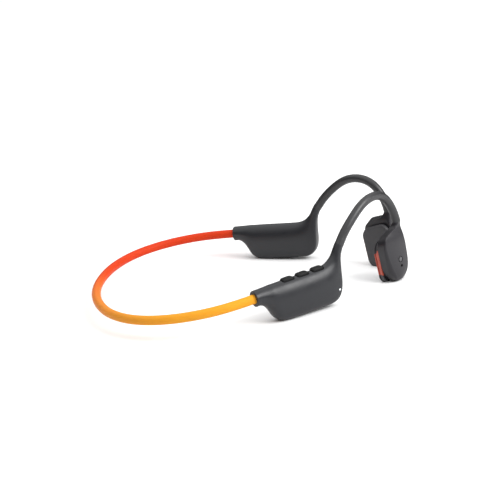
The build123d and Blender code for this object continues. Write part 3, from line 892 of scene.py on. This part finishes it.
def earpiece(side, flip):
    crowns = [0, 0.0, 0.02, 0.06, 0.12, 0.2, 0.3, 0.35, 0.35, 0.35, 0.35, 0.3, 0.25, 0.15, 0.05]
    secs = np.array([ear_section(s, c) for s, c in zip(SECT, crowns)])
    mids = np.array([(np.mean([np.array(p) for p in s[:4]], axis=0)) for s in SECT])
    u = np.concatenate([[0], np.cumsum(np.linalg.norm(np.diff(mids, axis=0), axis=1) + 0.4)])
    q = np.linspace(0, u[-1], 150)
    flat = secs.reshape(len(SECT), -1)
    fine = spline(u, flat, q).reshape(len(q), -1, 3)
    rings = [np.array([ear(*p) for p in r]) for r in fine]
    first = rings[0]
    c = first.mean(0)
    rings[0] = c + (first - c) * 0.975
    rings.insert(1, first + np.array([0, 0, -0.10]))
    V, F = skin(rings)
    ob = build(side + "_earpiece_skin", V, F, flip=flip, low=0.0, sharp=45)
    holes = []
    sg = -1 if flip else 1
    for j, (w, z, r, n0) in enumerate(((2.7, -9.1, 1.83, 3.35), (2.8, -12.7, 0.80, 2.9), (2.7, -9.1, 1.2, 2.5))):
        rr = [circle(ear(w, z, n), EW, UPV, r, 48) for n in (n0, 7.0)]
        V, F = skin(rr)
        holes.append(build("hole_%s_%d" % (side, j), V, F, flip=flip))
    cut(ob, holes, sharp=45)
    finishpiece(ob, "ear_plastic", ROOT, side + "_earpiece_shell")
    # bezel of the microphone port, a ring with a rounded lip and a dished inside
    prof = [(1.78, 3.42), (1.80, 4.45), (1.79, 4.62), (1.70, 4.72), (1.56, 4.75), (1.42, 4.70), (1.32, 4.55), (1.22, 4.2), (1.16, 4.0), (1.15, 3.42)]
    V, F = lathe(ear(2.7, -9.1, 0), EW, UPV, EN, prof, 64)
    ob = build(side + "_mic_ring_skin", V, F, flip=flip)
    finishpiece(ob, "ear_plastic", ROOT, side + "_mic_ring")


PAD_OUT = [(-5.9, -21.1, 5.3), (10.4, -21.1, 7.0), (9.9, -4.0, 0), (8.4, 5.3, 4.5), (-8.1, 1.0, 6.0)]


def ring_at(inset, n, count=150):
    p = rounded(PAD_OUT, count, inset)
    return np.array([ear(a, b, n) for a, b in p])


def accent(V):
    """1 on the rear edge, where the coloured insert is, and 0 on the rest of the outline."""
    w, z, n = (V - EM) @ EW, V[:, 2], (V - EM) @ EN
    top = -1.6 + 0.9 * (n + 2.1)            # the insert tapers towards its upper end
    return ((w < -3.9) & (z < top) & (z > -15.8)).astype(float)


def pads(side, flip):
    seq = [(0.42, -2.1), (0.32, -2.2), (0.30, -2.35), (0.30, -3.65), (0.34, -3.78), (0.46, -3.85), (1.66, -3.85), (1.78, -3.78), (1.80, -3.65),
           (1.80, -2.3), (1.76, -2.14), (1.66, -2.1)]
    V, F = torus_skin([ring_at(i, n) for i, n in seq])
    ob = build(side + "_accent_ring_skin", V, F, flip=flip, low=0.10, attrs={"rim": accent(V)})
    finishpiece(ob, "accent_red", ROOT, side + "_accent_ring")
    seq = [(3.15, -3.0, 0), (3.03, -3.06, 0), (3.0, -3.2, 0), (3.0, -4.12, 0), (2.9, -4.2, 0), (0.25, -4.2, 1), (0.08, -4.23, 1), (0.0, -4.32, 1), (0.0, -4.48, 1),
           (0.05, -4.58, 1), (0.14, -4.66, 1), (0.30, -4.73, 0), (0.5, -4.76, 0), (0.72, -4.765, 0), (0.86, -4.71, 0), (0.96, -4.71, 0), (1.1, -4.775, 0), (1.35, -4.8, 0), (2.6, -4.8, 0), (4.2, -4.8, 0)]
    rings = [ring_at(i, n) for i, n, _ in seq]
    V, F = skin(rings)
    rim = accent(V) * np.concatenate([np.repeat([float(r) for _, _, r in seq], 150), [0, 0]])
    ob = build(side + "_contact_pad_skin", V, F, flip=flip, low=0.15, attrs={"rim": rim})
    finishpiece(ob, "pad_silicone", side + "_pad", side + "_contact_pad")


for side, flip in (("right", False), ("left", True)):
    hook(side, flip)
    earpiece(side, flip)
    pads(side, flip)

# ------------------------------------------------------------------ floor
bpy.ops.mesh.primitive_grid_add(x_subdivisions=8, y_subdivisions=8, size=6.0, location=(0, 0, 0))
floor = bpy.context.object
floor.name = "floor"
fm = material("floor_paper", (0.92, 0.92, 0.92), 0.9, grain=900, bump=0.02, vary=0.006, blotch=6, specular=0.1)
floor.data.materials.append(fm)

# ------------------------------------------------------------------ camera
az, el, roll = 1.53543819, 0.28693374, -0.1812268
Bv = Vector((math.sin(az) * math.cos(el), -math.cos(az) * math.cos(el), math.sin(el)))
Fw = -Bv
R0 = Vector((math.cos(az), math.sin(az), 0))
U0 = R0.cross(Fw)
Rr = R0 * math.cos(roll) + U0 * math.sin(roll)
Uu = -R0 * math.sin(roll) + U0 * math.cos(roll)
Cc = Vector((0, 4.751, 6.675)) + Bv * 664
cam = bpy.data.cameras.new("camera")
co = bpy.data.objects.new("camera", cam)
bpy.context.scene.collection.objects.link(co)
r_, u_, b_ = turn(Rr), turn(Uu), turn(Bv)
rot = Matrix(((r_.x, u_.x, b_.x, 0), (r_.y, u_.y, b_.y, 0), (r_.z, u_.z, b_.z, 0), (0, 0, 0, 1)))
co.matrix_world = Matrix.Translation(Vector(place(np.array(Cc)))) @ rot
cam.sensor_width = 36
cam.lens = 1242 / 500 * 36
cam.clip_start, cam.clip_end = 0.01, 50
bpy.context.scene.camera = co

# ------------------------------------------------------------------ light
scene = bpy.context.scene
scene.view_settings.view_transform = "Standard"
world = bpy.data.worlds.new("studio")
scene.world = world
world.use_nodes = True
wn = world.node_tree
bg = wn.nodes["Background"]
wc = wn.nodes.new("ShaderNodeTexCoord")
ws = wn.nodes.new("ShaderNodeSeparateXYZ")
wm = wn.nodes.new("ShaderNodeMapRange")
wm.interpolation_type = "SMOOTHSTEP"
wm.inputs["From Min"].default_value = 0.25
wm.inputs["From Max"].default_value = 0.85
wm.inputs["To Min"].default_value = 0.10
wm.inputs["To Max"].default_value = 1.62
wn.links.new(wc.outputs["Generated"], ws.inputs[0])
wn.links.new(ws.outputs["Z"], wm.inputs["Value"])
wn.links.new(wm.outputs["Result"], bg.inputs["Strength"])
bg.inputs["Color"].default_value = (1, 1, 1, 1)


def area(name, loc, target, size, power, color=(1, 1, 1)):
    li_ = bpy.data.lights.new(name, "AREA")
    li_.shape = "RECTANGLE"
    li_.size, li_.size_y = size
    li_.energy = power
    li_.color = color
    o = bpy.data.objects.new(name, li_)
    scene.collection.objects.link(o)
    o.location = loc
    d = Vector(target) - Vector(loc)
    o.rotation_euler = d.to_track_quat("-Z", "Y").to_euler()
    return o


area("key_front", (0.36, 0.53, 0.46), (0.05, 0.02, 0.02), (0.44, 0.44), 5.2)
area("front_low", (0.04, 0.80, 0.19), (0.02, 0.07, 0.04), (0.30, 0.10), 0.8)
